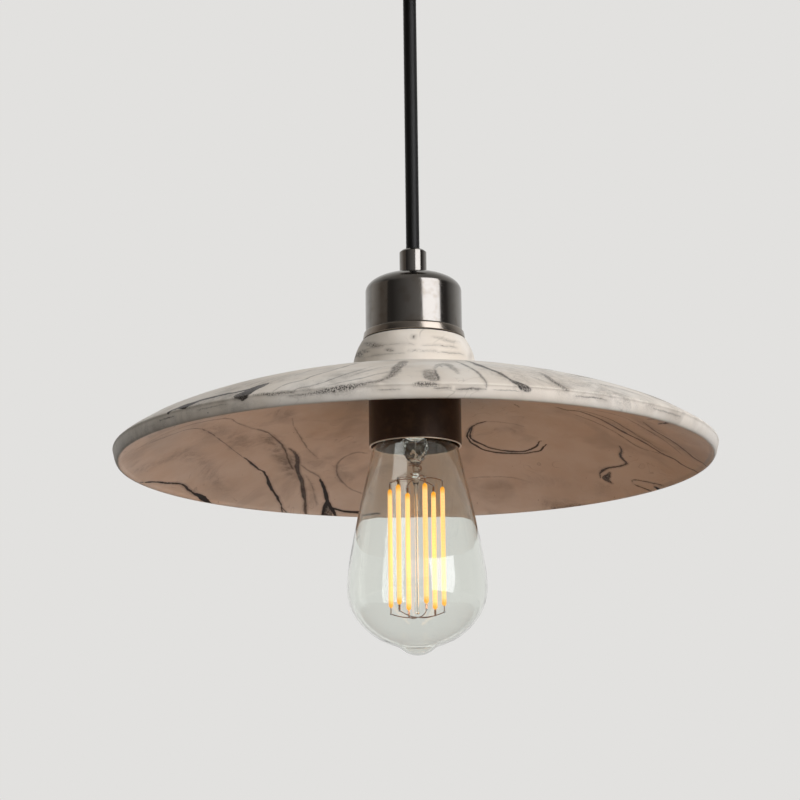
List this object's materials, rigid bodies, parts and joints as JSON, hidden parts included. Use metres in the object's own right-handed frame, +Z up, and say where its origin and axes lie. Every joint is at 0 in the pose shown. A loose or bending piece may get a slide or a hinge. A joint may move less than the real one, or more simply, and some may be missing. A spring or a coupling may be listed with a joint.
{
  "type": "ceramic pendant light",
  "caption": "Shallow marbled ceramic shade on a metal lampholder with a filament bulb, hung by a braided cable from a round ceiling rose.",
  "frame": {"origin": "middle of the ceiling face of the rose, where the lamp is fixed", "axes": "+Z up along the cable into the ceiling, +Y away from the viewer, +X to the viewer's right"},
  "size_m": [0.2768, 0.2768, 0.3657],
  "materials": {
    "antiqued_nickel": "antiqued satin nickel plate",
    "marbled_ceramic": "cream ceramic with grey and black marbling, satin glaze",
    "bronzed_metal": "dark bronze lacquer",
    "brass": "plain turned brass",
    "zinc_steel": "zinc-plated steel",
    "black_braid": "woven black textile braid",
    "brown_core": "brown insulation",
    "blue_core": "blue insulation",
    "earth_core": "green and yellow insulation",
    "white_porcelain": "glazed porcelain",
    "cream_plastic": "moulded cream plastic",
    "red_fibre": "pressed vulcanised fibre",
    "black_rubber": "moulded rubber",
    "clear_glass": "clear blown glass",
    "nickel_cap": "nickel-plated screw cap",
    "black_insulator": "black glass insulator",
    "circuit_board": "green circuit board",
    "black_component": "black component case",
    "copper_wire": "coppered nickel wire",
    "glowing_filament": "glowing warm white coating"
  },
  "bodies": {
    "ceiling": {"ceiling_bracket": "zinc_steel", "rose_cover": "antiqued_nickel", "rose_side_screws": "antiqued_nickel", "rose_nipple": "brass", "rose_lock_nut": "zinc_steel", "rose_washer": "zinc_steel", "rose_cord_grip": "antiqued_nickel", "rose_grip_screw": "zinc_steel", "terminal_block": "cream_plastic", "terminal_sleeves": "brass", "terminal_screws": "zinc_steel", "earth_screw": "brass", "rose_core_live": "brown_core", "rose_core_neutral": "blue_core", "rose_core_earth": "earth_core", "cable_end_upper": "black_braid"},
    "cord": {"cable": "black_braid"},
    "lamp": {"cord_grip": "antiqued_nickel", "grip_screw": "zinc_steel", "holder_nipple": "brass", "nipple_lock_nut": "zinc_steel", "cup_cover": "antiqued_nickel", "cover_ring": "antiqued_nickel", "neck_gasket": "black_rubber", "ceramic_shade": "marbled_ceramic", "holder_cap": "bronzed_metal", "holder_skirt": "bronzed_metal", "shade_washer": "red_fibre", "porcelain_insert": "white_porcelain", "screw_shell": "brass", "side_contact": "brass", "centre_contact": "brass", "live_terminal": "brass", "neutral_terminal": "brass", "insert_screws": "zinc_steel", "clamp_screws": "zinc_steel", "earth_terminal": "brass", "holder_core_live": "brown_core", "holder_core_neutral": "blue_core", "holder_core_earth": "earth_core", "cable_end_lower": "black_braid"},
    "bulb": {"bulb_glass": "clear_glass", "bulb_cap": "nickel_cap", "cap_insulator": "black_insulator", "bulb_contact": "zinc_steel", "driver_board": "circuit_board", "driver_parts": "black_component", "stem_glass": "clear_glass", "lead_wires": "zinc_steel", "upper_wires": "copper_wire", "lower_star": "copper_wire", "filament_1": "glowing_filament", "filament_2": "glowing_filament", "filament_3": "glowing_filament", "filament_4": "glowing_filament", "filament_5": "glowing_filament", "filament_6": "glowing_filament"}
  },
  "joints": [
    {"name": "cord_swing", "type": "hinge", "parent": "ceiling", "child": "cord", "pos_m": [0, 0, -0.0396], "axis": [0, 1, 0], "range_deg": [-12, 12]},
    {"name": "lamp_tilt", "type": "hinge", "parent": "cord", "child": "lamp", "pos_m": [0, 0, -0.1756], "axis": [1, 0, 0], "range_deg": [-10, 10]},
    {"name": "bulb_out", "type": "slide", "parent": "lamp", "child": "bulb", "axis": [0, 0, -1], "range_m": [0, 0.06]}
  ]
}
